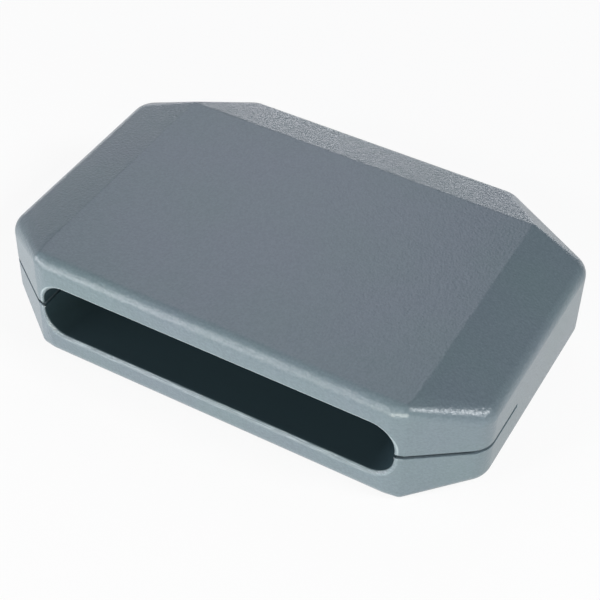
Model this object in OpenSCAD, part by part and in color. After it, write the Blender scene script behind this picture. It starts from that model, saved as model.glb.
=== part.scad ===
// Percussion block. A moulded block has a slot-shaped mouth, with a thin slit at each end of it.
// On its rear wall, a cast bracket, an eye bolt and a wing nut clamp the block to a stand's rod.
// The origin is the centre of the flat underside. +Z is up, and the mouth faces -Y.

/* [Block] */
// Length of the block, from side wall to side wall
body_length = 190.5; // [182:0.5:215]
// Depth of the block, from the mouth face to the rear wall
body_depth = 127; // [118:0.5:145]
// Height of the block, from the underside to the level top
body_height = 44.5; // [42:0.5:54]
// Height of the upright side and rear walls, between the bevels
wall_height = 34; // [30:0.5:37]
// How far the side bevels run in from the side walls
side_bevel_run = 24.5; // [16:0.5:34]
// How far the rear bevels run in from the rear wall
rear_bevel_run = 22.5; // [16:0.5:32]
// Front corner cut, along the length
front_corner_length = 25.8; // [16:0.1:26.5]
// Front corner cut, along the depth
front_corner_depth = 18; // [12:0.5:26]
// Rear corner cut, along the length
rear_corner_length = 39.8; // [30:0.1:50]
// Rear corner cut, along the depth
rear_corner_depth = 24; // [18:0.5:34]

/* [Edges] */
// Radius of the upright edges, seen from above
upright_edge_r = 10; // [7:0.1:12]
// Radius where a bevel meets an upright wall
wall_edge_r = 5.2; // [2:0.1:6]
// Radius of the rim between the mouth face and the top
front_rim_r = 5; // [2:0.1:6]
// Radius of the creases around the level top
crease_r = 3.8; // [2:0.1:6]

/* [Mouth and cavity] */
// Solid side beside the mouth
side_thickness = 25.8; // [22:0.1:34]
// Thickness of the roof and of the floor at the mouth
roof_thickness = 11; // [9:0.1:14]
// Solid rear, behind the cavity
rear_thickness = 31; // [22:0.5:45]
// Chamfer around the mouth
mouth_chamfer = 1.5; // [0.8:0.1:2.4]
// How much the cavity narrows on every side by its inner end
cavity_draft = 1.2; // [0.4:0.1:2.5]
// Rounding of the cavity's inner end
cavity_end_r = 5; // [2:0.1:8]
// Height of the slits
slit_height = 1.5; // [0.8:0.1:2.5]
// How far the slits reach back from the mouth face
slit_depth = 42; // [30:0.5:60]

/* [Bracket] */
// Wall of the cast bracket
bracket_wall = 2.5; // [2:0.1:4]
// Height of the clamp's centre line above the underside
clamp_height = 11; // [10.6:0.1:14]
// Thickness of the jaw's two flanges
flange_thickness = 2.2; // [1.6:0.1:3]
// Metal around the rod in the flanges
flange_rim = 3; // [2:0.1:5]
// Height of the screws above the underside
screw_height = 25; // [23:0.5:27]
// Distance between the screws
screw_spacing = 19; // [17:0.5:21]
// Plate above the screws' centre line
plate_margin = 6; // [5:0.1:8]

/* [Eye bolt and wing nut] */
// Diameter of the stand's rod that the clamp takes
rod_d = 9.5; // [9:0.1:10.5]
// Gap around the rod in the eye
rod_gap = 0.5; // [0.3:0.05:0.8]
// Metal around the bore
eye_wall = 3.5; // [3:0.1:4.5]
// Thickness of the eye, along the rod
eye_thickness = 7; // [6:0.1:8]
// Diameter of the bolt's shank
shank_d = 5; // [4:0.1:6]
// Reach of the wings from the nut's axis
wing_reach = 10.4; // [9:0.1:10.5]
// Thickness of the wings
wing_thickness = 2.4; // [1.8:0.1:3.2]

/* [Inserts and screws] */
// Outer diameter of the threaded inserts
insert_d = 6; // [5.5:0.1:7]
// Length of the threaded inserts
insert_length = 10; // [6:0.5:14]
// Diameter of the screws' shanks
screw_d = 3.9; // [3:0.1:4.2]
// Diameter of the screws' heads
head_d = 7.6; // [6.5:0.1:8.2]

/* [Hidden] */

// How far a cut runs past the face that it starts from
overrun = 1;
// Radial gap of a piece that turns or slides on another
running_gap = 0.06;
// Radial gap of a piece that stays where it is put
set_gap = 0.04;

// Sides of a full circle: in plan, around a rim, and on small round pieces
plan_fn = 48;
rim_fn = 32;
round_fn = 64;

// Block, seen from above
half_length = body_length / 2;
rear_y = body_depth / 2;
front_y = -rear_y;
mid_z = body_height / 2;
wall_low_z = (body_height - wall_height) / 2;
wall_corners = [
    [half_length, front_y + front_corner_depth],
    [half_length, rear_y - rear_corner_depth],
    [half_length - rear_corner_length, rear_y],
    [rear_corner_length - half_length, rear_y],
    [-half_length, rear_y - rear_corner_depth],
    [-half_length, front_y + front_corner_depth]
];
front_corners = [
    [front_corner_length - half_length, front_y],
    [half_length - front_corner_length, front_y]
];
outline = concat(wall_corners, front_corners);
// Corners of the level top and underside
crease_places_x = [side_bevel_run - half_length, half_length - side_bevel_run];
crease_places_y = [front_y + front_rim_r, rear_y - rear_bevel_run];

// Mouth: a slot with round ends, in the middle of the block's height
mouth_r = mid_z - roof_thickness;
mouth_centre_x = half_length - side_thickness - mouth_r;
cavity_depth = body_depth - rear_thickness;

// Rod clamp
rod_r = rod_d / 2;
eye_bore_r = rod_r + rod_gap;
eye_r = eye_bore_r + eye_wall;
eye_edge_r = 0.8;
// Gap between the eye and the bracket's plate
eye_back_gap = 0.75;
// Gap between the eye and each flange
eye_side_gap = 0.4;
rod_y = rear_y + bracket_wall + eye_back_gap + eye_r;
shank_r = shank_d / 2;
// The rod's way through the flanges is wider than the bore in the eye. A square notch, a little
// smaller than the way, stands on its corner towards the web and makes a V that seats the rod.
rod_way_gap = 0.25;
rod_way_r = eye_bore_r + rod_way_gap;
notch_inset = 0.2;
notch_side = rod_way_r - notch_inset;
notch_angle = 45;
// The eye moves the rod into the V, and takes up its own gap around the rod
clamp_travel = (notch_side - rod_r) / sin(notch_angle) + rod_gap;
// Cone between the eye and the shank
neck_length = 2.2;
neck_r = 3.2;
// Gap between the neck and the bracket's web when the clamp is tight
neck_gap = 0.4;
web_inner_x = eye_r + neck_length + clamp_travel + neck_gap;
web_outer_x = web_inner_x + bracket_wall;
// Gap around the shank in the bracket's web
shank_way_gap = 0.3;

// Bracket
jaw_height = eye_thickness + 2 * (eye_side_gap + flange_thickness);
jaw_low_z = clamp_height - jaw_height / 2;
jaw_r = rod_way_r + flange_rim;
jaw_corner_r = 3;
plate_top_z = screw_height + plate_margin;
plate_corner_r = 5;
rib_thickness = 2.4;
rib_run = 3;
rib_rise = 8;

// Washers and nut on the shank, outside the bracket's web
flat_washer_r = 5;
flat_washer_thickness = 1;
spring_washer_r = 4.5;
spring_washer_thickness = 1.3;
spring_washer_cut = 0.7;
spring_washer_slant = 20;
washer_hole_gap = 0.2;
nut_base_z = flat_washer_thickness + spring_washer_thickness;
nut_foot_r = 4.9;
nut_top_r = 3.7;
nut_foot_height = 1.6;
nut_height = 6.6;
wing_root_r = 2;
wing_tip_r = 3.2;
wing_root_z = 2.6;
wing_tip_z = 7.2;
// Turn of the wings at rest
wing_angle = 35;
// Shank past the nut when the clamp is slack
shank_spare = 1;
shank_end_chamfer = 0.6;

// Screws and inserts
insert_r = insert_d / 2;
insert_recess = 0.3;
insert_bore_spare = 1.5;
insert_groove = 0.5;
insert_bands = 3;
screw_r = screw_d / 2;
screw_way_gap = 0.3;
screw_washer_r = 4.6;
screw_washer_thickness = 0.8;
head_r = head_d / 2;
head_height = 2.6;
head_dome_r = 6;
head_slot_width = 1;
head_slot_depth = 1.3;
head_slot_share = 0.62;
// How far the screws reach into the inserts
screw_bite = 8;

// Inward unit normal of an edge of an anticlockwise outline
function inward(from, to) = [from.y - to.y, to.x - from.x] / norm(to - from);

// Centre of the circle that touches both edges at one corner of an outline
function corner_centre(points, i, r) =
    let (count = len(points))
    let (before = inward(points[(i + count - 1) % count], points[i]))
    let (after = inward(points[i], points[(i + 1) % count]))
    points[i] + r * (before + after) / (1 + before * after);

// Disc with a fully rounded rim, or a ball where both radii are the same
module puck(radius, rim_r) {
    rotate_extrude($fn = plan_fn)
        intersection() {
            translate([radius - rim_r, 0])
                circle(r = rim_r, $fn = rim_fn);
            translate([0, -rim_r])
                square([radius, 2 * rim_r]);
        }
}

// Ring of rectangular section
module ring(outer_r, inner_r, thickness) {
    difference() {
        cylinder(r = outer_r, h = thickness, $fn = round_fn);
        translate([0, 0, -overrun])
            cylinder(r = inner_r, h = thickness + 2 * overrun, $fn = round_fn);
    }
}

// The bevelled and rounded outside of the block
module block_outside() {
    hull() {
        for (i = [0:len(outline) - 1]) {
            at = corner_centre(outline, i, upright_edge_r);
            on_wall = i < len(wall_corners);
            edge_r = on_wall ? wall_edge_r : front_rim_r;
            low_z = (on_wall ? wall_low_z : 0) + edge_r;
            for (z = [low_z, body_height - low_z])
                translate([at.x, at.y, z])
                    puck(upright_edge_r, edge_r);
        }
        for (x = crease_places_x, y = crease_places_y, z = [crease_r, body_height - crease_r])
            translate([x, y, z])
                puck(crease_r, crease_r);
    }
}

// Half of the cavity's section: x is the distance from the slot's centre line, y the depth from the
// mouth face. It starts with the mouth's chamfer, narrows inwards and ends in a round.
module cavity_section() {
    inner_r = mouth_r - cavity_draft;
    straight_depth = cavity_depth - cavity_end_r;
    polygon([
        [0, -overrun],
        [mouth_r + mouth_chamfer + overrun, -overrun],
        [mouth_r, mouth_chamfer],
        [inner_r, straight_depth],
        [inner_r - cavity_end_r, cavity_depth],
        [0, cavity_depth]
    ]);
    translate([inner_r - cavity_end_r, straight_depth])
        intersection() {
            circle(r = cavity_end_r, $fn = rim_fn);
            square(cavity_end_r);
        }
}

// The hollow behind the mouth: straight in the middle, with round ends
module cavity() {
    translate([0, front_y, mid_z]) {
        rotate([0, -90, 0])
            linear_extrude(height = 2 * mouth_centre_x, center = true)
                for (side = [0, 1])
                    mirror([side, 0])
                        cavity_section();
        for (side = [0, 1])
            mirror([side, 0, 0])
                translate([mouth_centre_x, 0, 0])
                    rotate([-90, 0, 0])
                        rotate([0, 0, -90])
                            rotate_extrude(angle = 180, $fn = round_fn)
                                cavity_section();
    }
}

module side_slits() {
    for (side = [0, 1])
        mirror([side, 0, 0])
            translate([mouth_centre_x, front_y - overrun, mid_z - slit_height / 2])
                cube([half_length - mouth_centre_x + overrun, slit_depth + overrun, slit_height]);
}

// Puts a piece at each screw: its z runs out of the bracket's plate, away from the block
module at_screws() {
    for (side = [-1, 1])
        translate([side * screw_spacing / 2, rear_y + bracket_wall, screw_height])
            rotate([-90, 0, 0])
                children();
}

// Puts a piece on the shank: its z runs out of the bracket's web
module at_web() {
    translate([web_outer_x, rod_y, clamp_height])
        rotate([0, 90, 0])
            children();
}

module block_body() {
    bore_depth = insert_recess + insert_length + insert_bore_spare;
    color("slategray")
        difference() {
            block_outside();
            cavity();
            side_slits();
            at_screws()
                translate([0, 0, -bracket_wall - bore_depth])
                    cylinder(r = insert_r + set_gap, h = bore_depth + overrun, $fn = round_fn);
        }
}

// Brass inserts with grooves that hold them in the plastic
module threaded_inserts() {
    band = insert_length / (2 * insert_bands - 1);
    color("darkgoldenrod")
        at_screws()
            translate([0, 0, -bracket_wall - insert_recess - insert_length])
                difference() {
                    union() {
                        cylinder(r = insert_r - insert_groove, h = insert_length, $fn = round_fn);
                        for (i = [0:insert_bands - 1])
                            translate([0, 0, 2 * i * band])
                                cylinder(r = insert_r, h = band, $fn = round_fn);
                    }
                    translate([0, 0, -overrun])
                        cylinder(r = screw_r + set_gap, h = insert_length + 2 * overrun, $fn = round_fn);
                }
}

// The jaw in plan: round beside the rod, with a square end that carries the web
module jaw_plan() {
    translate([0, rod_y])
        circle(r = jaw_r, $fn = round_fn);
    translate([-jaw_r, rear_y])
        square([jaw_r + web_outer_x, rod_y - rear_y]);
    translate([0, rear_y])
        square([web_outer_x - jaw_corner_r, rod_y - rear_y + jaw_r]);
    translate([0, rear_y])
        square([web_outer_x, rod_y - rear_y + jaw_r - jaw_corner_r]);
    translate([web_outer_x - jaw_corner_r, rod_y + jaw_r - jaw_corner_r])
        circle(r = jaw_corner_r, $fn = rim_fn);
}

// Two flanges that the rod passes through, and the web that the eye bolt pulls on
module jaw() {
    difference() {
        translate([0, 0, jaw_low_z])
            linear_extrude(height = jaw_height)
                jaw_plan();
        translate([-jaw_r - overrun, rear_y + bracket_wall, jaw_low_z + flange_thickness])
            cube([
                jaw_r + overrun + web_inner_x,
                rod_y + jaw_r - rear_y,
                jaw_height - 2 * flange_thickness
            ]);
    }
}

module plate() {
    corner_x = web_outer_x - plate_corner_r;
    translate([0, rear_y + bracket_wall, 0])
        rotate([90, 0, 0])
            linear_extrude(height = bracket_wall) {
                translate([-web_outer_x, jaw_low_z])
                    square([2 * web_outer_x, plate_top_z - plate_corner_r - jaw_low_z]);
                translate([-corner_x, jaw_low_z])
                    square([2 * corner_x, plate_top_z - jaw_low_z]);
                for (side = [-1, 1])
                    translate([side * corner_x, plate_top_z - plate_corner_r])
                        circle(r = plate_corner_r, $fn = round_fn);
            }
}

// Rib between the screws, from the plate down to the upper flange
module rib() {
    foot_y = rear_y + bracket_wall;
    foot_z = jaw_low_z + jaw_height;
    translate([-rib_thickness / 2, 0, 0])
        rotate([90, 0, 90])
            linear_extrude(height = rib_thickness)
                polygon([
                    [foot_y - bracket_wall / 2, foot_z - flange_thickness / 2],
                    [foot_y + rib_run, foot_z - flange_thickness / 2],
                    [foot_y + rib_run, foot_z],
                    [foot_y, foot_z + rib_rise],
                    [foot_y - bracket_wall / 2, foot_z + rib_rise]
                ]);
}

module mount_bracket() {
    color("dimgray")
        difference() {
            union() {
                plate();
                jaw();
                rib();
            }
            at_screws()
                translate([0, 0, -bracket_wall - overrun])
                    cylinder(r = screw_r + screw_way_gap, h = bracket_wall + 2 * overrun, $fn = round_fn);
            translate([0, rod_y, jaw_low_z - overrun])
                linear_extrude(height = jaw_height + 2 * overrun) {
                    circle(r = rod_way_r, $fn = round_fn);
                    rotate(-notch_angle)
                        square(notch_side);
                }
            at_web()
                translate([0, 0, -bracket_wall - overrun])
                    cylinder(r = shank_r + shank_way_gap, h = bracket_wall + 2 * overrun, $fn = round_fn);
        }
}

module bracket_screws() {
    dome_centre_z = screw_washer_thickness + head_height - head_dome_r;
    shank_length = screw_washer_thickness + bracket_wall + insert_recess + screw_bite;
    slot_length = 2 * head_r * head_slot_share;
    color("silver")
        at_screws()
            difference() {
                union() {
                    // Head: a cylinder with a domed top
                    intersection() {
                        translate([0, 0, screw_washer_thickness])
                            cylinder(r = head_r, h = head_height, $fn = round_fn);
                        translate([0, 0, dome_centre_z])
                            sphere(r = head_dome_r, $fn = round_fn);
                    }
                    translate([0, 0, screw_washer_thickness - shank_length])
                        cylinder(r = screw_r, h = shank_length + head_height / 4, $fn = round_fn);
                }
                for (turn = [0, 90])
                    rotate([0, 0, turn])
                        translate([
                            -slot_length / 2,
                            -head_slot_width / 2,
                            screw_washer_thickness + head_height - head_slot_depth
                        ])
                            cube([slot_length, head_slot_width, head_slot_depth + overrun]);
            }
}

module screw_washers() {
    color("silver")
        at_screws()
            ring(screw_washer_r, screw_r + washer_hole_gap, screw_washer_thickness);
}

// Section of the eye, with its four edges rounded
module eye_section() {
    middle_r = eye_bore_r + eye_wall / 2;
    reach = eye_wall / 2 - eye_edge_r;
    rise = eye_thickness / 2 - eye_edge_r;
    translate([middle_r - eye_wall / 2, -rise])
        square([eye_wall, 2 * rise]);
    translate([middle_r - reach, -eye_thickness / 2])
        square([2 * reach, eye_thickness]);
    for (side = [-1, 1], end = [-1, 1])
        translate([middle_r + side * reach, end * rise])
            circle(r = eye_edge_r, $fn = rim_fn);
}

module eye_bolt() {
    // The shank and its neck start inside the eye's wall
    start_x = eye_bore_r + eye_wall / 2;
    neck_end = eye_r + neck_length - start_x;
    shank_end = web_outer_x + nut_base_z + nut_height + shank_spare - start_x;
    color("lightgray")
        translate([0, rod_y, clamp_height]) {
            rotate_extrude($fn = round_fn)
                eye_section();
            translate([start_x, 0, 0])
                rotate([0, 90, 0])
                    rotate_extrude($fn = round_fn)
                        polygon([
                            [0, 0],
                            [neck_r, 0],
                            [shank_r, neck_end],
                            [shank_r, shank_end - shank_end_chamfer],
                            [shank_r - shank_end_chamfer, shank_end],
                            [0, shank_end]
                        ]);
        }
}

module flat_washer() {
    color("silver")
        at_web()
            ring(flat_washer_r, shank_r + washer_hole_gap, flat_washer_thickness);
}

module spring_washer() {
    color("gray")
        at_web()
            translate([0, 0, flat_washer_thickness])
                difference() {
                    ring(spring_washer_r, shank_r + washer_hole_gap, spring_washer_thickness);
                    rotate([0, 0, wing_angle])
                        translate([shank_r + spring_washer_r / 2, 0, spring_washer_thickness / 2])
                            rotate([spring_washer_slant, 0, 0])
                                cube([
                                    spring_washer_r + overrun,
                                    spring_washer_cut,
                                    2 * (spring_washer_thickness + overrun)
                                ], center = true);
                }
}

module wing_nut() {
    color("lightgray")
        at_web()
            rotate([0, 0, wing_angle])
                translate([0, 0, nut_base_z])
                    difference() {
                        union() {
                            cylinder(r = nut_foot_r, h = nut_foot_height, $fn = round_fn);
                            translate([0, 0, nut_foot_height])
                                cylinder(
                                    r1 = nut_foot_r,
                                    r2 = nut_top_r,
                                    h = nut_height - nut_foot_height,
                                    $fn = round_fn
                                );
                            for (side = [0, 1])
                                mirror([side, 0, 0])
                                    translate([0, wing_thickness / 2, 0])
                                        rotate([90, 0, 0])
                                            linear_extrude(height = wing_thickness)
                                                hull() {
                                                    translate([nut_top_r, wing_root_z])
                                                        circle(r = wing_root_r, $fn = rim_fn);
                                                    translate([wing_reach - wing_tip_r, wing_tip_z])
                                                        circle(r = wing_tip_r, $fn = rim_fn);
                                                }
                        }
                        translate([0, 0, -overrun])
                            cylinder(
                                r = shank_r + running_gap,
                                h = wing_tip_z + wing_tip_r + 2 * overrun,
                                $fn = round_fn
                            );
                    }
}

block_body();
threaded_inserts();
mount_bracket();
bracket_screws();
screw_washers();
eye_bolt();
flat_washer();
spring_washer();
wing_nut();
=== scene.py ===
# Moulded percussion block with a rod clamp on its rear wall.
# Pieces are modelled in millimetres, and each mesh is scaled to metres when it is finished.
import math

import bmesh
import bpy
from mathutils import Matrix, Vector


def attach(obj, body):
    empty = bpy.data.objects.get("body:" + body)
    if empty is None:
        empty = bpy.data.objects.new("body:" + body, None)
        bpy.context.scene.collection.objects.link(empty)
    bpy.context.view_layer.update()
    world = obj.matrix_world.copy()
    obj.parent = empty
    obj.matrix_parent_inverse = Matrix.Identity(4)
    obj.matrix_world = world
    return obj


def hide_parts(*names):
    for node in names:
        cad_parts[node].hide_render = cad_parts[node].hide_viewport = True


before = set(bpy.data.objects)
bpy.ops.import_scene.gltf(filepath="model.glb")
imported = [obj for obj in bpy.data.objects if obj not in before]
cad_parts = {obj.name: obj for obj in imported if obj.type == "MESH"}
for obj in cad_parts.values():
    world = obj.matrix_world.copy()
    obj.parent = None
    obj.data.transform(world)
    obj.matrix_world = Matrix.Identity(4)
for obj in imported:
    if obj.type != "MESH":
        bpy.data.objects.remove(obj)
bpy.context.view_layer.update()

# Factors that turn millimetres into metres, and back
METRES = 0.001
PER_MM = 1000
FULL_TURN = 2 * math.pi
HALF_TURN = math.pi
QUARTER_TURN = math.pi / 2

# Block
BODY_LENGTH = 190.5
BODY_DEPTH = 127
BODY_HEIGHT = 44.5
WALL_HEIGHT = 34
SIDE_BEVEL_RUN = 24.5
REAR_BEVEL_RUN = 22.5
FRONT_CORNER = Vector((25.8, 18))
REAR_CORNER = Vector((39.8, 24))
UPRIGHT_EDGE_R = 10
WALL_EDGE_R = 5.2
FRONT_RIM_R = 5
CREASE_R = 3.8

# Mouth, cavity and slits
SIDE_THICKNESS = 25.8
ROOF_THICKNESS = 11
REAR_THICKNESS = 31
MOUTH_CORNER_R = 9.2
LIP_WIDTH = 1.35
LIP_DEPTH = 1.1
CAVITY_DRAFT = 1.2
CAVITY_END_R = 5
SLIT_HEIGHT = 1.5
SLIT_DEPTH = 42
LIP_EDGE_R = 0.45
SLIT_EDGE_R = 0.25

# Bracket and rod clamp
BRACKET_WALL = 2.5
CLAMP_HEIGHT = 11
ROD_D = 9.5
ROD_GAP = 0.5
EYE_WALL = 3.5
EYE_THICKNESS = 7
EYE_EDGE_R = 0.8
EYE_BACK_GAP = 0.75
SHANK_R = 2.5
NECK_LENGTH = 2.2
NECK_R = 3.2
PLAIN_SHANK = 1
THREAD_PITCH = 0.8
THREAD_DEPTH = 0.45
THREAD_CHAMFER = 0.5
# A thread's profile: shares of its pitch, and of its depth above the root
THREAD_PROFILE = [(0, 0), (0.12, 0), (0.45, 1), (0.57, 1), (0.9, 0), (1, 0)]
WEB_OUTER_X = 15.128
ROD_WAY_R = 5.5
CASTING_EDGE_R = 0.55
# The casting's edges that are nearer than this to the block, the rod's way or a hole stay sharp
BLOCK_MARGIN = 0.1
ROD_WAY_MARGIN = 2.5
HOLE_MARGIN = 1
# Outer radius and thickness of a washer. The spring washer's thickness includes its rise.
FLAT_WASHER = (5, 1)
SPRING_WASHER = (4.5, 1.3)
SPRING_RISE = 0.25
SPRING_GAP = math.radians(12)
WASHER_GAP = 0.2
WASHER_EDGE_R = 0.15
SPRING_EDGE_R = 0.12
NUT_FOOT_R = 4.9
NUT_TOP_R = 3.7
NUT_FOOT_HEIGHT = 1.6
NUT_HEIGHT = 6.6
WING_REACH = 10.4
WING_THICKNESS = 2.4
# Height and radius of a wing's two ends
WING_ROOT = (2.6, 2)
WING_TIP = (7.2, 3.2)
WING_ANGLE = math.radians(35)
NUT_BORE_GAP = 0.1
# The grid that fuses the wing nut's parts, and how often it is smoothed
NUT_GRID = 0.16
NUT_SMOOTHINGS = 14
SHANK_SPARE = 1
SCREW_HEIGHT = 25
SCREW_SPACING = 19
SCREW_R = 1.95
SCREW_BITE = 8
SCREW_WASHER = (4.6, 0.8)
HEAD_R = 3.8
HEAD_HEIGHT = 2.6
HEAD_DOME_R = 6
RECESS_LENGTH = 4.4
RECESS_WIDTH = 1
RECESS_DEPTH = 2
# Shares of the recess's length and width that are left at its bottom
RECESS_TAPER = (0.45, 0.6)
# How far the first screw's recess is turned, and how much further the second one's, in radians
RECESS_TURN = 0.5
RECESS_NEXT_TURN = 0.7
INSERT_RECESS = 0.3

# How far a cut runs past the face that it starts from
OVERRUN = 1
# How far a shank runs into the eye bolt's neck, and into a screw's head
NECK_OVERLAP = 0.5
HEAD_OVERLAP = 0.6
# Steps of a full circle on the block and the eye, of a half circle on a rim of the block, of a full
# circle on the small pieces and on a thread, of a short arc, and of a rounded edge
PLAN_STEPS = 96
RIM_STEPS = 32
SMALL_STEPS = 48
THREAD_STEPS = 28
ARC_STEPS = 8
EDGE_STEPS = 3
# Points nearer than this are merged: on turned pieces, on the block, and on threads and before
# edges are rounded
FINE_WELD = 0.0005
WELD = 0.001
LOOSE_WELD = 0.002
# Faces that lie flatter than this to each other are made one
FLAT_ANGLE = math.radians(0.1)

HALF_LENGTH = BODY_LENGTH / 2
REAR_Y = BODY_DEPTH / 2
FRONT_Y = -REAR_Y
MID_Z = BODY_HEIGHT / 2
WALL_LOW_Z = (BODY_HEIGHT - WALL_HEIGHT) / 2
# Centre of a corner of the mouth, from the mouth's own centre
MOUTH_CORNER_X = HALF_LENGTH - SIDE_THICKNESS - MOUTH_CORNER_R
MOUTH_CORNER_Z = MID_Z - ROOF_THICKNESS - MOUTH_CORNER_R
CAVITY_DEPTH = BODY_DEPTH - REAR_THICKNESS
EYE_BORE_R = ROD_D / 2 + ROD_GAP
EYE_R = EYE_BORE_R + EYE_WALL
ROD_Y = REAR_Y + BRACKET_WALL + EYE_BACK_GAP + EYE_R
NUT_BASE = FLAT_WASHER[1] + SPRING_WASHER[1]
# Puts a piece's z axis on the eye bolt's shank, or on a screw, pointing away from the block
ON_WEB = Matrix.Translation((WEB_OUTER_X, ROD_Y, CLAMP_HEIGHT)) @ Matrix.Rotation(QUARTER_TURN, 4, "Y")
ON_SCREWS = [
    Matrix.Translation((side * SCREW_SPACING / 2, REAR_Y + BRACKET_WALL, SCREW_HEIGHT))
    @ Matrix.Rotation(-QUARTER_TURN, 4, "X")
    for side in (-1, 1)
]


class Socket:
    """A number in a material. Python's operators on it add Math nodes."""

    def __init__(self, finish, socket):
        self.finish = finish
        self.socket = socket

    def maths(self, operation, *values):
        return self.finish.node("Math", {"operation": operation}, dict(enumerate(values)))

    def at_least(self, other):
        return self.maths("MAXIMUM", self, other)

    def root(self):
        return self.maths("SQRT", self)

    def __add__(self, other):
        return self.maths("ADD", self, other)

    def __sub__(self, other):
        return self.maths("SUBTRACT", self, other)

    def __rsub__(self, other):
        return self.maths("SUBTRACT", other, self)

    def __mul__(self, other):
        return self.maths("MULTIPLY", self, other)

    def __abs__(self):
        return self.maths("ABSOLUTE", self)

    __radd__ = __add__
    __rmul__ = __mul__


class Finish:
    """A material while its nodes are put together"""

    def __init__(self, name, tree=None):
        self.material = None
        if tree is None:
            self.material = bpy.data.materials.new(name)
            self.material.use_nodes = True
            tree = self.material.node_tree
        self.tree = tree
        self.tree.nodes.clear()

    def node(self, kind, settings=None, inputs=None, output=0):
        """Adds a node, and returns the output that is asked for by its place or name"""
        made = self.tree.nodes.new("ShaderNode" + kind)
        for name, value in (settings or {}).items():
            setattr(made, name, value)
        for name, value in (inputs or {}).items():
            socket = self.find(made.inputs, name)
            if isinstance(value, Socket):
                self.tree.links.new(value.socket, socket)
            else:
                socket.default_value = value
        if not made.outputs:
            return None
        return Socket(self, self.find(made.outputs, output))

    def find(self, sockets, name):
        if isinstance(name, int):
            return sockets[name]
        return next(s for s in sockets if s.enabled and s.name == name)

    def place(self, stretch=(1, 1, 1)):
        """The point on the piece, in metres, stretched along the axes where a pattern needs it"""
        point = self.node("TexCoord", output="Object")
        return self.node("Mapping", inputs={"Vector": point, "Scale": stretch})

    def along(self, axis):
        """The point's own x, y or z, in millimetres"""
        return self.node("SeparateXYZ", inputs={"Vector": self.place()}, output=axis) * PER_MM

    def noise(self, size, detail=2, stretch=(1, 1, 1)):
        """Noise whose features are about size millimetres wide"""
        return self.node(
            "TexNoise",
            inputs={"Vector": self.place(stretch), "Scale": PER_MM / size, "Detail": detail},
        )

    def pebbles(self, size):
        """Round grains about size millimetres wide: 1 in the middle of each, 0 between them"""
        distance = self.node(
            "TexVoronoi",
            {"feature": "SMOOTH_F1"},
            {"Vector": self.place(), "Scale": PER_MM / size, "Smoothness": PEBBLE_MELT},
            output="Distance",
        )
        return 1 - distance

    def band(self, value, low, high):
        """0 below low and 1 above high, with a smooth step between them"""
        return self.node(
            "MapRange",
            {"interpolation_type": "SMOOTHSTEP"},
            {"Value": value, "From Min": low, "From Max": high},
        )

    def mix(self, share, a, b):
        """Colour a where share is 0, colour b where it is 1"""
        return self.node(
            "Mix",
            {"data_type": "RGBA"},
            {"Factor": share, "A": a, "B": b},
            output="Result",
        )

    def bump(self, height, depth, strength):
        """Relief of depth millimetres where the height goes from 0 to 1"""
        return self.node(
            "Bump",
            inputs={"Height": height, "Distance": depth * METRES, "Strength": strength},
        )

    def surface(self, **inputs):
        """The shader itself. Underscores in the names stand for spaces."""
        named = {name.replace("_", " "): value for name, value in inputs.items()}
        shader = self.node("BsdfPrincipled", inputs=named)
        self.node("OutputMaterial", inputs={"Surface": shader})
        return self.material


def colour(red, green, blue):
    """A colour given as the screen shows it, from 0 to 255, in Blender's linear values"""
    linear = []
    for level in (red, green, blue):
        share = level / 255
        linear.append(share / 12.92 if share <= 0.04045 else ((share + 0.055) / 1.055) ** 2.4)
    return (*linear, 1)


# Colours of the block: two hues, specks, a lighter colour for trim streaks and for a painted highlight
# line round the mouth, and painted shade for the cavity
PLASTIC_VIOLET = colour(95, 107, 117)
PLASTIC_GREEN = colour(93, 109, 115)
PLASTIC_SPECK = colour(136, 148, 156)
# Lighter colour of trim streaks, also used for a painted highlight line round the mouth's edge
PLASTIC_TRIMMED_AND_HIGHLIGHT = colour(150, 164, 170)
# Painted shade: the hollow's inside is made darker, where little light reaches it
CAVITY_PAINTED_SHADE = colour(47, 65, 72)
# Widths of its patterns, and how far one pebble runs into the next
PEBBLE_MELT = 0.6
PEBBLE_SIZE = 1.0
PORE_SIZE = 0.6
MOTTLE_SIZE = 38
SPECK_SIZE = 0.9
STREAK_SIZE = 0.35
NICK_SIZE = 1.6
# The streaks are drawn out along the mouth
STREAK_STRETCH = (0.05, 1, 1)
# Levels of noise between which each pattern fades in
MOTTLE_LEVELS = (0.2, 0.8)
SPECK_LEVELS = (0.3, 0.7)
STREAK_LEVELS = (0.4, 0.7)
NICK_LEVELS = (0.66, 0.74)
# The most that specks, streaks and the painted highlight line round the mouth's edge add to the colour;
# the highlight is stronger along the upper side
SPECK_SHARE = 0.14
STREAK_SHARE = 0.6
LOWER_HIGHLIGHT_SHARE = 0.2
UPPER_HIGHLIGHT_SHARE = 0.8
# Distances over which the lip, the cavity's painted shade and the painted highlight line fade out, how
# far that line lies inside the lip's outer edge, and the height over which it strengthens towards the
# upper side
LIP_FADE = 0.5
LIP_DEPTH_FADE = 0.3
CAVITY_FADE = (0.2, 0.9)
CAVITY_BACK_FADE = 2
HIGHLIGHT_INSET = 0.1
HIGHLIGHT_FADE = (0.15, 0.5)
HIGHLIGHT_UPPER_FADE = 3
# The grain's relief, how much of it the lip and the cavity lose, and the trimming's height beside it
GRAIN_DEPTH = 0.09
LIP_SMOOTHING = 0.5
CAVITY_SMOOTHING = 0.8
TRIMMING_HEIGHT = 2
# Roughness, and what the mottle and the cavity add to it
PLASTIC_ROUGHNESS = 0.28
MOTTLE_ROUGHNESS = 0.04
CAVITY_ROUGHNESS = 0.15


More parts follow.
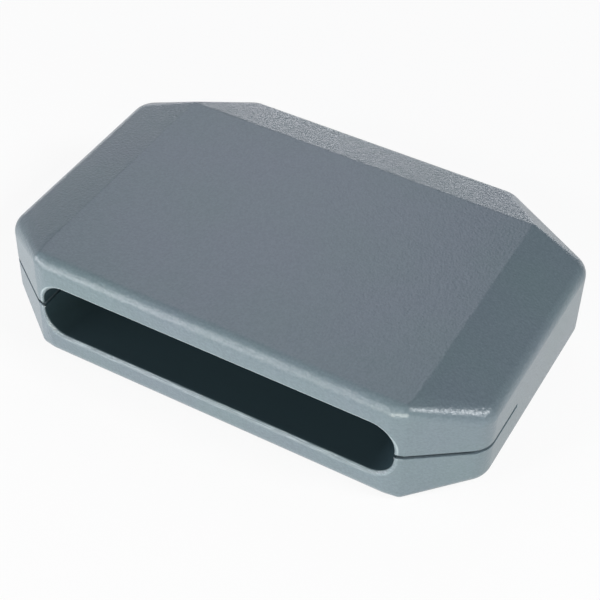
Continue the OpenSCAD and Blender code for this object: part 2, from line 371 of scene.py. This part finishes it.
def block_plastic():
    """Grained moulding: the cavity is smooth and carries painted shade, the mouth has trim streaks and
    nicks, and a painted highlight runs round its edge
    """
    finish = Finish("block_plastic")
    x, y, z = (finish.along(axis) for axis in "XYZ")
    depth = y - FRONT_Y
    past_x = (abs(x) - MOUTH_CORNER_X).at_least(0.0)
    past_z = (abs(z - MID_Z) - MOUTH_CORNER_Z).at_least(0.0)
    reach = (past_x * past_x + past_z * past_z).root()
    lip_reach = MOUTH_CORNER_R + LIP_WIDTH
    # The cavity's mask: it paints shade into the hollow past the lip, and also smooths its grain and
    # adds roughness
    in_mouth = 1 - finish.band(reach, *(MOUTH_CORNER_R + past for past in CAVITY_FADE))
    past_lip = finish.band(depth, LIP_DEPTH - LIP_DEPTH_FADE, LIP_DEPTH + LIP_DEPTH_FADE)
    past_back = finish.band(depth, CAVITY_DEPTH, CAVITY_DEPTH + CAVITY_BACK_FADE)
    in_cavity = in_mouth * past_lip * (1 - past_back)
    past_inner_edge = finish.band(reach, MOUTH_CORNER_R - LIP_FADE, MOUTH_CORNER_R)
    past_outer_edge = finish.band(reach, lip_reach, lip_reach + LIP_FADE)
    on_lip = past_inner_edge * (1 - past_outer_edge) * (1 - past_lip)
    # A painted highlight along the lip's outer edge, stronger along the mouth's upper side
    from_highlight_line = abs(reach - lip_reach + HIGHLIGHT_INSET)
    upper = finish.band(z, MID_Z - HIGHLIGHT_UPPER_FADE, MID_Z + HIGHLIGHT_UPPER_FADE)
    highlight_share = LOWER_HIGHLIGHT_SHARE + (UPPER_HIGHLIGHT_SHARE - LOWER_HIGHLIGHT_SHARE) * upper
    painted_edge_highlight = (1 - finish.band(from_highlight_line, *HIGHLIGHT_FADE)) * (1 - past_lip) * highlight_share

    grain = finish.pebbles(PEBBLE_SIZE) + finish.noise(PORE_SIZE)
    mottle = finish.noise(MOTTLE_SIZE)
    specks = finish.band(finish.noise(SPECK_SIZE, detail=3), *SPECK_LEVELS)
    streaks = finish.noise(STREAK_SIZE, detail=3, stretch=STREAK_STRETCH)
    nicks = finish.band(finish.noise(NICK_SIZE, detail=3), *NICK_LEVELS)
    tint = finish.mix(finish.band(mottle, *MOTTLE_LEVELS), PLASTIC_VIOLET, PLASTIC_GREEN)
    outside = finish.mix(specks * SPECK_SHARE, tint, PLASTIC_SPECK)
    # Trim streaks on the lip and the painted highlight line both lighten the colour
    streaks_and_highlight = (on_lip * finish.band(streaks, *STREAK_LEVELS) * STREAK_SHARE).at_least(painted_edge_highlight)
    trimmed_and_highlit = finish.mix(streaks_and_highlight, outside, PLASTIC_TRIMMED_AND_HIGHLIGHT)
    grain_left = (1 - on_lip * LIP_SMOOTHING) * (1 - in_cavity * CAVITY_SMOOTHING)
    height = grain * grain_left + on_lip * (streaks - nicks) * TRIMMING_HEIGHT
    return finish.surface(
        # Painted shade darkens the cavity's colour
        Base_Color=finish.mix(in_cavity, trimmed_and_highlit, CAVITY_PAINTED_SHADE),
        Roughness=PLASTIC_ROUGHNESS + MOTTLE_ROUGHNESS * mottle + CAVITY_ROUGHNESS * in_cavity,
        Normal=finish.bump(height, GRAIN_DEPTH, strength=0.9),
    )


# Metal: fine scratches, and stains that are darker and rougher
SCRATCH_SIZE = 0.25
SCRATCH_STRETCH = (1, 1, 12)
SCRATCH_DEPTH = 0.01
STAIN_SIZE = 3
STAIN_LEVELS = (0.4, 0.75)
STAIN_BRIGHTNESS = 0.8
STAIN_ROUGHNESS = 0.12


def metal(name, tint, roughness):
    finish = Finish(name)
    scratches = finish.noise(SCRATCH_SIZE, detail=3, stretch=SCRATCH_STRETCH)
    stains = finish.noise(STAIN_SIZE, detail=4)
    dull = tuple(level * STAIN_BRIGHTNESS for level in tint[:3]) + (1,)
    return finish.surface(
        Base_Color=finish.mix(finish.band(stains, *STAIN_LEVELS), tint, dull),
        Metallic=1.0,
        Roughness=roughness + STAIN_ROUGHNESS * stains,
        Normal=finish.bump(scratches, SCRATCH_DEPTH, strength=0.5),
    )


# Black powder coat, with its orange peel, over a casting's uneven skin
PAINT_DARK = colour(30, 30, 31)
PAINT_LIGHT = colour(44, 44, 45)
PAINT_PATCH_SIZE = 1.5
PEEL_SIZE = 0.6
PEEL_HEIGHT = 0.6
CAST_SIZE = 2.5
PAINT_DEPTH = 0.06
PAINT_ROUGHNESS = 0.38
PEEL_ROUGHNESS = 0.2


def bracket_paint():
    finish = Finish("bracket_paint")
    peel = finish.noise(PEEL_SIZE)
    cast = finish.noise(CAST_SIZE, detail=3)
    return finish.surface(
        Base_Color=finish.mix(finish.noise(PAINT_PATCH_SIZE, detail=4), PAINT_DARK, PAINT_LIGHT),
        Roughness=PAINT_ROUGHNESS + PEEL_ROUGHNESS * peel,
        Normal=finish.bump(peel * PEEL_HEIGHT + cast, PAINT_DEPTH, strength=0.6),
    )


FINISHES = {
    "block_plastic": block_plastic(),
    "insert_brass": metal("insert_brass", colour(205, 170, 95), roughness=0.3),
    "bracket_paint": bracket_paint(),
    "zinc_plate": metal("zinc_plate", colour(196, 198, 202), roughness=0.28),
    "nickel_plate": metal("nickel_plate", colour(205, 202, 194), roughness=0.16),
    "spring_steel": metal("spring_steel", colour(92, 92, 96), roughness=0.4),
}


def in_scene(name, bm):
    """Makes an object of a bmesh that is in millimetres"""
    bm.transform(Matrix.Scale(METRES, 4))
    mesh = bpy.data.meshes.new(name)
    bm.to_mesh(mesh)
    bm.free()
    made = bpy.data.objects.new(name, mesh)
    bpy.context.scene.collection.objects.link(made)
    return made


def settle(piece):
    """Applies a piece's modifiers"""
    depsgraph = bpy.context.evaluated_depsgraph_get()
    result = bpy.data.meshes.new_from_object(piece.evaluated_get(depsgraph))
    piece.modifiers.clear()
    piece.data = result


def combine(piece, other, operation="DIFFERENCE"):
    """Takes another shape out of a piece, or adds it"""
    boolean = piece.modifiers.new("combine", "BOOLEAN")
    boolean.solver = "EXACT"
    boolean.operation = operation
    boolean.object = other
    settle(piece)
    bpy.data.objects.remove(other)


def soften(piece, radius, sharp_degrees=40, wanted=None):
    """Rounds a piece's sharp edges, or those of them that are wanted"""
    bm = bmesh.new()
    bm.from_mesh(piece.data)
    bm.transform(Matrix.Scale(PER_MM, 4))
    bmesh.ops.remove_doubles(bm, verts=bm.verts[:], dist=LOOSE_WELD)
    bmesh.ops.dissolve_limit(bm, angle_limit=FLAT_ANGLE, verts=bm.verts[:], edges=bm.edges[:])
    limit = math.radians(sharp_degrees)
    edges = [
        edge
        for edge in bm.edges
        if len(edge.link_faces) == 2
        and edge.calc_face_angle() > limit
        and (wanted is None or wanted(edge))
    ]
    bmesh.ops.bevel(
        bm,
        geom=edges,
        offset=radius,
        offset_type="OFFSET",
        affect="EDGES",
        segments=EDGE_STEPS,
        profile=0.5,
        material=-1,
        clamp_overlap=False,
    )
    bmesh.ops.dissolve_degenerate(bm, dist=WELD, edges=bm.edges[:])
    bm.transform(Matrix.Scale(METRES, 4))
    bm.to_mesh(piece.data)
    bm.free()


def dress(piece, body, slot, *nodes, sharp_degrees=35):
    """Shades a finished piece, gives it its finish, and lets it stand for its solids on its body"""
    mesh = piece.data
    mesh.materials.clear()
    mesh.materials.append(FINISHES[slot])
    mesh.shade_smooth()
    mesh.set_sharp_from_angle(angle=math.radians(sharp_degrees))
    weighted = piece.modifiers.new("normals", "WEIGHTED_NORMAL")
    weighted.keep_sharp = True
    weighted.weight = 100
    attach(piece, body)
    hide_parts(*nodes)
    return piece


def only(kind, geom):
    return [part for part in geom if isinstance(part, kind)]


def inward(start, end):
    """Inward unit normal of an edge of an anticlockwise outline"""
    edge = end - start
    return Vector((-edge.y, edge.x)) / edge.length


def corner_centre(outline, i, radius):
    """Centre of the circle that touches both edges at one corner of an outline"""
    before = inward(outline[i - 1], outline[i])
    after = inward(outline[i], outline[(i + 1) % len(outline)])
    return outline[i] + radius * (before + after) / (1 + before.dot(after))


def add_puck(bm, centre, radius, rim_r):
    """Points of a disc with a fully rounded rim"""
    for step in range(RIM_STEPS + 1):
        tilt = HALF_TURN * (step / RIM_STEPS - 0.5)
        bmesh.ops.create_circle(
            bm,
            segments=PLAN_STEPS,
            radius=radius - rim_r + rim_r * math.cos(tilt),
            matrix=Matrix.Translation(centre + Vector((0, 0, rim_r * math.sin(tilt)))),
        )


WALL_CORNERS = [
    Vector((HALF_LENGTH, FRONT_Y + FRONT_CORNER.y)),
    Vector((HALF_LENGTH, REAR_Y - REAR_CORNER.y)),
    Vector((HALF_LENGTH - REAR_CORNER.x, REAR_Y)),
    Vector((REAR_CORNER.x - HALF_LENGTH, REAR_Y)),
    Vector((-HALF_LENGTH, REAR_Y - REAR_CORNER.y)),
    Vector((-HALF_LENGTH, FRONT_Y + FRONT_CORNER.y)),
]
FRONT_CORNERS = [
    Vector((FRONT_CORNER.x - HALF_LENGTH, FRONT_Y)),
    Vector((HALF_LENGTH - FRONT_CORNER.x, FRONT_Y)),
]
OUTLINE = WALL_CORNERS + FRONT_CORNERS


def block_outside():
    """The bevelled outside: a hull round discs at the corners and balls at the creases"""
    bm = bmesh.new()
    for i in range(len(OUTLINE)):
        at = corner_centre(OUTLINE, i, UPRIGHT_EDGE_R)
        on_wall = i < len(WALL_CORNERS)
        edge_r = WALL_EDGE_R if on_wall else FRONT_RIM_R
        low_z = (WALL_LOW_Z if on_wall else 0) + edge_r
        for z in (low_z, BODY_HEIGHT - low_z):
            add_puck(bm, Vector((at.x, at.y, z)), UPRIGHT_EDGE_R, edge_r)
    crease_x = HALF_LENGTH - SIDE_BEVEL_RUN
    for x in (-crease_x, crease_x):
        for y in (FRONT_Y + FRONT_RIM_R, REAR_Y - REAR_BEVEL_RUN):
            for z in (CREASE_R, BODY_HEIGHT - CREASE_R):
                add_puck(bm, Vector((x, y, z)), CREASE_R, CREASE_R)
    bmesh.ops.delete(bm, geom=bm.edges[:], context="EDGES_FACES")
    bmesh.ops.remove_doubles(bm, verts=bm.verts[:], dist=WELD)
    hull = bmesh.ops.convex_hull(bm, input=bm.verts[:])
    inside = set(only(bmesh.types.BMVert, hull["geom_interior"] + hull["geom_unused"]))
    bmesh.ops.delete(bm, geom=list(inside), context="VERTS")
    return in_scene("block", bm)


def cavity_shape():
    """The hollow: the section of its wall is swept round the mouth, turning at each corner"""
    bm = bmesh.new()
    inner_r = MOUTH_CORNER_R - CAVITY_DRAFT
    straight_depth = CAVITY_DEPTH - CAVITY_END_R
    slope = LIP_WIDTH / LIP_DEPTH
    section = [
        (MOUTH_CORNER_R + LIP_WIDTH + OVERRUN * slope, -OVERRUN),
        (MOUTH_CORNER_R, LIP_DEPTH),
    ]
    for step in range(ARC_STEPS + 1):
        turn = QUARTER_TURN * step / ARC_STEPS
        section.append(
            (
                inner_r - CAVITY_END_R * (1 - math.cos(turn)),
                straight_depth + CAVITY_END_R * math.sin(turn),
            )
        )
    verts = [
        bm.verts.new((MOUTH_CORNER_X, FRONT_Y + depth, MID_Z + MOUTH_CORNER_Z + out))
        for out, depth in section
    ]
    edges = [bm.edges.new(pair) for pair in zip(verts, verts[1:])]
    geom = verts + edges
    corners = [
        Vector((x * MOUTH_CORNER_X, 0, z * MOUTH_CORNER_Z + MID_Z))
        for x, z in ((1, 1), (1, -1), (-1, -1), (-1, 1))
    ]
    for i, corner in enumerate(corners):
        turned = bmesh.ops.spin(
            bm,
            geom=geom,
            cent=corner,
            axis=(0, 1, 0),
            angle=QUARTER_TURN,
            steps=PLAN_STEPS // 4,
        )
        moved = bmesh.ops.extrude_edge_only(
            bm, edges=only(bmesh.types.BMEdge, turned["geom_last"])
        )["geom"]
        verts = only(bmesh.types.BMVert, moved)
        bmesh.ops.translate(bm, verts=verts, vec=corners[(i + 1) % len(corners)] - corner)
        ends = set(verts)
        edges = [e for e in only(bmesh.types.BMEdge, moved) if ends.issuperset(e.verts)]
        geom = verts + edges
    bmesh.ops.remove_doubles(bm, verts=bm.verts[:], dist=WELD)
    bmesh.ops.holes_fill(bm, edges=[e for e in bm.edges if e.is_boundary])
    bmesh.ops.recalc_face_normals(bm, faces=bm.faces[:])
    return in_scene("cavity_shape", bm)


def slit_shape(side):
    bm = bmesh.new()
    size = (HALF_LENGTH - MOUTH_CORNER_X + OVERRUN, SLIT_DEPTH + OVERRUN, SLIT_HEIGHT)
    middle = (
        side * (MOUTH_CORNER_X + size[0] / 2),
        FRONT_Y + (SLIT_DEPTH - OVERRUN) / 2,
        MID_Z,
    )
    place = Matrix.Translation(middle) @ Matrix.Diagonal((*size, 1))
    bmesh.ops.create_cube(bm, size=1, matrix=place)
    return in_scene("slit_shape", bm)


def middle_of(edge):
    return (edge.verts[0].co + edge.verts[1].co) / 2


def at_mouth(edge):
    middle = middle_of(edge)
    past_x = max(0, abs(middle.x) - MOUTH_CORNER_X)
    past_z = max(0, abs(middle.z - MID_Z) - MOUTH_CORNER_Z)
    reach = math.hypot(past_x, past_z)
    return middle.y < FRONT_Y + 2 * LIP_DEPTH and abs(reach - MOUTH_CORNER_R) < 2 * LIP_WIDTH


def at_slit(edge):
    return abs(middle_of(edge).z - MID_Z) < SLIT_HEIGHT


def make_block():
    block = block_outside()
    combine(block, cavity_shape())
    for side in (1, -1):
        combine(block, slit_shape(side))
    soften(block, LIP_EDGE_R, sharp_degrees=32, wanted=at_mouth)
    soften(block, SLIT_EDGE_R, sharp_degrees=32, wanted=at_slit)
    dress(block, "block", "block_plastic", "block_body")


def revolved(name, profile, place, steps=SMALL_STEPS, closed=False):
    """Turns a profile of (radius, height) points round the z axis, then puts it in place"""
    bm = bmesh.new()
    verts = [bm.verts.new((radius, 0, height)) for radius, height in profile]
    pairs = list(zip(verts, verts[1:]))
    if closed:
        pairs.append((verts[-1], verts[0]))
    edges = [bm.edges.new(pair) for pair in pairs]
    bmesh.ops.spin(
        bm,
        geom=verts + edges,
        cent=(0, 0, 0),
        axis=(0, 0, 1),
        angle=FULL_TURN,
        steps=steps,
        use_merge=True,
    )
    bmesh.ops.remove_doubles(bm, verts=bm.verts[:], dist=FINE_WELD)
    bmesh.ops.recalc_face_normals(bm, faces=bm.faces[:])
    bm.transform(place)
    return in_scene(name, bm)


def threaded_rod(name, radius, low, high, place):
    """A rod with a real thread along z: one pitch of its profile is turned and drawn along"""
    bm = bmesh.new()
    root = radius - THREAD_DEPTH
    verts = [
        bm.verts.new((root + rise * THREAD_DEPTH, 0, low + (along - 1) * THREAD_PITCH))
        for along, rise in THREAD_PROFILE
    ]
    edges = [bm.edges.new(pair) for pair in zip(verts, verts[1:])]
    # The thread starts a pitch below the rod and runs past its top, and both ends are cut off
    turns = math.ceil((high - low) / THREAD_PITCH) + 2
    bmesh.ops.spin(
        bm,
        geom=verts + edges,
        cent=(0, 0, 0),
        axis=(0, 0, 1),
        dvec=(0, 0, THREAD_PITCH / THREAD_STEPS),
        angle=turns * FULL_TURN,
        steps=turns * THREAD_STEPS,
    )
    bmesh.ops.remove_doubles(bm, verts=bm.verts[:], dist=LOOSE_WELD)
    for height, direction in ((low, -1), (high, 1)):
        bmesh.ops.bisect_plane(
            bm,
            geom=bm.verts[:] + bm.edges[:] + bm.faces[:],
            plane_co=(0, 0, height),
            plane_no=(0, 0, direction),
            clear_outer=True,
        )
    bmesh.ops.holes_fill(bm, edges=[e for e in bm.edges if e.is_boundary])
    for vert in bm.verts:
        reach = math.hypot(vert.co.x, vert.co.y)
        most = radius - max(0, vert.co.z - (high - THREAD_CHAMFER))
        if reach > most:
            vert.co.x *= most / reach
            vert.co.y *= most / reach
    bmesh.ops.recalc_face_normals(bm, faces=bm.faces[:])
    bm.transform(place)
    return in_scene(name, bm)


def ring_section(outer_r, inner_r, low, high):
    return [(inner_r, low), (outer_r, low), (outer_r, high), (inner_r, high)]


def make_washers():
    radius, thickness = FLAT_WASHER
    section = ring_section(radius, SHANK_R + WASHER_GAP, 0, thickness)
    flat = revolved("flat_washer_disc", section, ON_WEB, closed=True)
    soften(flat, WASHER_EDGE_R)
    dress(flat, "block", "zinc_plate", "flat_washer")

    radius, thickness = SCREW_WASHER
    section = ring_section(radius, SCREW_R + WASHER_GAP, 0, thickness)
    first, second = (revolved("screw_washer_discs", section, place, closed=True) for place in ON_SCREWS)
    combine(first, second, "UNION")
    soften(first, WASHER_EDGE_R)
    dress(first, "block", "zinc_plate", "screw_washers")


def make_spring_washer():
    """A split ring that climbs from one end to the other"""
    radius, height = SPRING_WASHER
    bm = bmesh.new()
    section = ring_section(radius, SHANK_R + WASHER_GAP, 0, height - SPRING_RISE)
    face = bm.faces.new([bm.verts.new((r, 0, z + FLAT_WASHER[1])) for r, z in section])
    bmesh.ops.spin(
        bm,
        geom=[face, *face.edges, *face.verts],
        cent=(0, 0, 0),
        axis=(0, 0, 1),
        dvec=(0, 0, SPRING_RISE / SMALL_STEPS),
        angle=FULL_TURN - SPRING_GAP,
        steps=SMALL_STEPS,
    )
    bmesh.ops.recalc_face_normals(bm, faces=bm.faces[:])
    bm.transform(ON_WEB @ Matrix.Rotation(WING_ANGLE + SPRING_GAP / 2, 4, "Z"))
    ring = in_scene("split_washer", bm)
    soften(ring, SPRING_EDGE_R)
    dress(ring, "block", "spring_steel", "spring_washer")


def make_eye_bolt():
    at_rod = Matrix.Translation((0, ROD_Y, CLAMP_HEIGHT))
    along = at_rod @ Matrix.Rotation(QUARTER_TURN, 4, "Y")
    half_step = Matrix.Rotation(HALF_TURN / PLAN_STEPS, 4, "Z")
    section = ring_section(EYE_R, EYE_BORE_R, -EYE_THICKNESS / 2, EYE_THICKNESS / 2)
    eye = revolved("clamp_eye_bolt", section, at_rod @ half_step, PLAN_STEPS, closed=True)
    soften(eye, EYE_EDGE_R)
    start = EYE_BORE_R + EYE_WALL / 2
    neck_end = EYE_R + NECK_LENGTH
    thread_start = neck_end + PLAIN_SHANK
    shank_end = WEB_OUTER_X + NUT_BASE + NUT_HEIGHT + SHANK_SPARE
    neck = [
        (0, start),
        (NECK_R, start),
        (SHANK_R, neck_end),
        (SHANK_R, thread_start),
        (SHANK_R - THREAD_DEPTH, thread_start + THREAD_DEPTH),
        (0, thread_start + THREAD_DEPTH),
    ]
    combine(eye, revolved("neck", neck, along), "UNION")
    shank = threaded_rod("shank", SHANK_R, thread_start - NECK_OVERLAP, shank_end, along)
    combine(eye, shank, "UNION")
    dress(eye, "clamp_bolt", "nickel_plate", "eye_bolt")


def make_wing_nut():
    """A cast nut: its parts are fused on a fine grid, smoothed, and bored afterwards"""
    place = ON_WEB @ Matrix.Rotation(WING_ANGLE, 4, "Z") @ Matrix.Translation((0, 0, NUT_BASE))
    profile = [
        (0, 0),
        (NUT_FOOT_R, 0),
        (NUT_FOOT_R, NUT_FOOT_HEIGHT),
        (NUT_TOP_R, NUT_HEIGHT),
        (0, NUT_HEIGHT),
    ]
    nut = revolved("cast_wing_nut", profile, place)
    for side in (1, -1):
        bm = bmesh.new()
        for x, (z, radius) in ((NUT_TOP_R, WING_ROOT), (WING_REACH - WING_TIP[1], WING_TIP)):
            bmesh.ops.create_circle(
                bm,
                segments=SMALL_STEPS,
                radius=radius,
                matrix=Matrix.Translation((side * x, -WING_THICKNESS / 2, z))
                @ Matrix.Rotation(QUARTER_TURN, 4, "X"),
            )
        bmesh.ops.delete(bm, geom=bm.edges[:], context="EDGES_FACES")
        for vert in bm.verts[:]:
            bm.verts.new(vert.co + Vector((0, WING_THICKNESS, 0)))
        bmesh.ops.convex_hull(bm, input=bm.verts[:])
        bmesh.ops.dissolve_limit(bm, angle_limit=FLAT_ANGLE, verts=bm.verts[:], edges=bm.edges[:])
        bm.transform(place)
        combine(nut, in_scene("wing", bm), "UNION")
    grid = nut.modifiers.new("grid", "REMESH")
    grid.mode = "VOXEL"
    grid.voxel_size = NUT_GRID * METRES
    smooth = nut.modifiers.new("smooth", "SMOOTH")
    smooth.iterations = NUT_SMOOTHINGS
    smooth.factor = 0.5
    settle(nut)
    bore_r = SHANK_R + NUT_BORE_GAP
    bore_top = WING_TIP[0] + WING_TIP[1] + OVERRUN
    bore = [(0, -OVERRUN), (bore_r, -OVERRUN), (bore_r, bore_top), (0, bore_top)]
    combine(nut, revolved("bore", bore, place))
    dress(nut, "clamp_nut", "nickel_plate", "wing_nut", sharp_degrees=50)


def recess_blade(turn, place):
    """One blade of the cross recess, narrower towards its bottom"""
    bm = bmesh.new()
    top = SCREW_WASHER[1] + HEAD_HEIGHT + OVERRUN
    height = RECESS_DEPTH + OVERRUN
    bmesh.ops.create_cube(
        bm,
        size=1,
        matrix=Matrix.Translation((0, 0, top - height / 2))
        @ Matrix.Diagonal((RECESS_LENGTH, RECESS_WIDTH, height, 1)),
    )
    bottom = [vert for vert in bm.verts if vert.co.z < top - OVERRUN]
    bmesh.ops.scale(bm, verts=bottom, vec=(*RECESS_TAPER, 1))
    bm.transform(place @ Matrix.Rotation(turn, 4, "Z"))
    return in_scene("recess_blade", bm)


def make_screws():
    head_low = SCREW_WASHER[1]
    head_top = head_low + HEAD_HEIGHT
    profile = [(0, head_low), (HEAD_R, head_low)]
    edge_turn = math.asin(HEAD_R / HEAD_DOME_R)
    for step in range(ARC_STEPS + 1):
        turn = edge_turn * (1 - step / ARC_STEPS)
        profile.append((HEAD_DOME_R * math.sin(turn), head_top - HEAD_DOME_R * (1 - math.cos(turn))))
    # The shank is made upside down, with the end that its thread is chamfered at away from the head
    turned_over = Matrix.Rotation(HALF_TURN, 4, "X")
    shank_start = -(head_low + HEAD_OVERLAP)
    shank_end = BRACKET_WALL + INSERT_RECESS + SCREW_BITE
    screws = []
    for i, place in enumerate(ON_SCREWS):
        screw = revolved("bracket_screw_pair", profile, place)
        for turn in (0, QUARTER_TURN):
            combine(screw, recess_blade(turn + RECESS_TURN + RECESS_NEXT_TURN * i, place))
        shank = threaded_rod("shank", SCREW_R, shank_start, shank_end, place @ turned_over)
        combine(screw, shank, "UNION")
        screws.append(screw)
    first, second = screws
    combine(first, second, "UNION")
    dress(first, "block", "zinc_plate", "bracket_screws")


def on_casting(edge):
    """An outside edge of the bracket, away from the block, the rod's way and the holes"""
    middle = middle_of(edge)
    on_block = middle.y < REAR_Y + BLOCK_MARGIN
    in_rod_way = math.hypot(middle.x, middle.y - ROD_Y) < ROD_WAY_R + ROD_WAY_MARGIN
    in_web_bore = math.hypot(middle.z - CLAMP_HEIGHT, middle.y - ROD_Y) < SHANK_R + HOLE_MARGIN
    in_screw_hole = any(
        math.hypot(middle.x - side * SCREW_SPACING / 2, middle.z - SCREW_HEIGHT) < SCREW_R + HOLE_MARGIN
        for side in (-1, 1)
    )
    return not (on_block or in_rod_way or in_web_bore or in_screw_hole)


def make_bracket():
    """The bracket's solid with its outside edges rounded, as a casting's are"""
    bm = bmesh.new()
    bm.from_mesh(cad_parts["mount_bracket"].data)
    bm.transform(Matrix.Scale(PER_MM, 4))
    bracket = in_scene("cast_bracket", bm)
    soften(bracket, CASTING_EDGE_R, sharp_degrees=50, wanted=on_casting)
    dress(bracket, "block", "bracket_paint", "mount_bracket")


make_block()
make_washers()
make_spring_washer()
make_eye_bolt()
make_wing_nut()
make_screws()
make_bracket()
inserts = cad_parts["threaded_inserts"]
inserts.data.materials.clear()
inserts.data.materials.append(FINISHES["insert_brass"])


# The photograph's camera, fitted to the block's outline: yaw, pitch and roll in degrees, its place in
# metres, and its lens on a frame of the usual width
CAMERA_TURNS = (28.245, 43.753, 1.601)
CAMERA_PLACE = (0.19204, -0.35783, 0.39566)
LENS = 90.4
FRAME_WIDTH = 36


def set_camera():
    """The camera stands where the photograph's was"""
    yaw, pitch, roll = (math.radians(turn) for turn in CAMERA_TURNS)
    back = Vector((math.sin(yaw) * math.cos(pitch), -math.cos(yaw) * math.cos(pitch), math.sin(pitch)))
    level = Vector((math.cos(yaw), math.sin(yaw), 0))
    right = level * math.cos(roll) + back.cross(level) * math.sin(roll)
    turn = Matrix((right, back.cross(right), back)).transposed().to_4x4()
    data = bpy.data.cameras.new("camera")
    data.lens = LENS
    data.sensor_width = FRAME_WIDTH
    data.clip_start = 0.01
    data.clip_end = 20
    made = bpy.data.objects.new("camera", data)
    made.matrix_world = Matrix.Translation(CAMERA_PLACE) @ turn
    bpy.context.scene.collection.objects.link(made)
    bpy.context.scene.camera = made


# Lamps: name, azimuth (0 is in front of the mouth and 90 at +X), elevation, width, height, watts,
# tint. Angles are in degrees and sizes in metres. The first four are strips just above the floor.
LAMPS = [
    ("front_strip", 17, 7, 1.0, 0.26, 14, (1, 0.98, 0.89)),
    ("right_strip", 92, 4, 0.5, 0.12, 0.4, (1, 1, 0.98)),
    ("rear_strip", -178, 4, 1.0, 0.12, 1.9, (0.95, 0.96, 1)),
    ("rear_left_strip", -135, 4, 1.0, 0.12, 1.8, (0.96, 0.95, 1)),
    ("front_panel", -45, 10, 1.2, 0.4, 11.5, (1, 0.98, 1)),
    ("rear_box", -147, 43, 0.7, 0.78, 3.0, (0.89, 0.88, 1)),
    ("rim_box", -24, 34, 0.2, 0.14, 2.4, (1, 1, 1)),
    ("edge_box", 94, 43, 0.36, 0.32, 8.5, (0.96, 0.98, 1)),
]
# How far the lamps stand from the block, in metres
LAMP_REACH = 1.2
# The tent's level where it is mirrored, at the horizon and overhead, and as a light
HORIZON_LEVEL = 0.2
OVERHEAD_LEVEL = 0.08
DIFFUSE_LEVEL = 0.055
# Heights of a direction between which the mirrored tent darkens
TENT_HEIGHTS = (0.1, 0.45)
# The floor's radius, and how far it lies below the block's underside, in millimetres
FLOOR_STEPS = 64
FLOOR_RADIUS = 6000
FLOOR_DROP = 0.05
FLOOR_PAINT = (0.85, 0.85, 0.85, 1)
# The share of the floor's own light in what the camera sees of it
FLOOR_GLOW = 0.9
WHITE = (1, 1, 1, 1)


def add_lamp(name, azimuth, elevation, width, height, watts, tint):
    """A soft box that faces the block"""
    turn = math.radians(azimuth)
    tilt = math.radians(elevation)
    level = math.cos(tilt)
    towards = Vector((math.sin(turn) * level, -math.cos(turn) * level, math.sin(tilt)))
    data = bpy.data.lights.new(name, "AREA")
    data.shape = "RECTANGLE"
    data.size = width
    data.size_y = height
    data.energy = watts
    data.color = tint
    made = bpy.data.objects.new(name, data)
    made.rotation_mode = "QUATERNION"
    made.rotation_quaternion = towards.to_track_quat("Z", "Y")
    made.location = towards * LAMP_REACH
    bpy.context.scene.collection.objects.link(made)


def ray(finish, *kinds):
    """1 for a ray of one of these kinds"""
    paths = [finish.node("LightPath", output=f"Is {kind} Ray") for kind in kinds]
    return sum(paths[1:], paths[0])


def make_floor():
    """A plain pale floor. It glows for the camera only as far as it may and still keep the shadow."""
    bm = bmesh.new()
    bmesh.ops.create_circle(bm, cap_ends=True, segments=FLOOR_STEPS, radius=FLOOR_RADIUS)
    bmesh.ops.translate(bm, verts=bm.verts[:], vec=(0, 0, -FLOOR_DROP))
    floor = in_scene("floor", bm)
    finish = Finish("floor_paint")
    paint = finish.node("BsdfDiffuse", inputs={"Color": FLOOR_PAINT})
    glow = finish.node("Emission", inputs={"Color": WHITE, "Strength": 1.0})
    share = ray(finish, "Camera") * FLOOR_GLOW + ray(finish, "Glossy", "Transmission")
    shader = finish.node("MixShader", inputs={0: share, 1: paint, 2: glow})
    finish.node("OutputMaterial", inputs={"Surface": shader})
    floor.data.materials.append(finish.material)


def make_world():
    """A tent round the block: white for the camera, grey where it is mirrored, and a weak light"""
    world = bpy.data.worlds.new("tent")
    world.use_nodes = True
    bpy.context.scene.world = world
    finish = Finish("tent", world.node_tree)
    direction = finish.node("TexCoord", output="Generated")
    height = finish.node("SeparateXYZ", inputs={"Vector": direction}, output="Z")
    overhead = finish.band(height, *TENT_HEIGHTS)
    tent = HORIZON_LEVEL + (OVERHEAD_LEVEL - HORIZON_LEVEL) * overhead
    camera = ray(finish, "Camera")
    mirrored = ray(finish, "Glossy", "Transmission")
    level = camera + mirrored * tent + (1 - camera - mirrored) * DIFFUSE_LEVEL
    shader = finish.node("Background", inputs={"Color": WHITE, "Strength": level})
    finish.node("OutputWorld", inputs={"Surface": shader})


set_camera()
make_floor()
make_world()
for lamp in LAMPS:
    add_lamp(*lamp)
bpy.context.scene.view_settings.view_transform = "Standard"
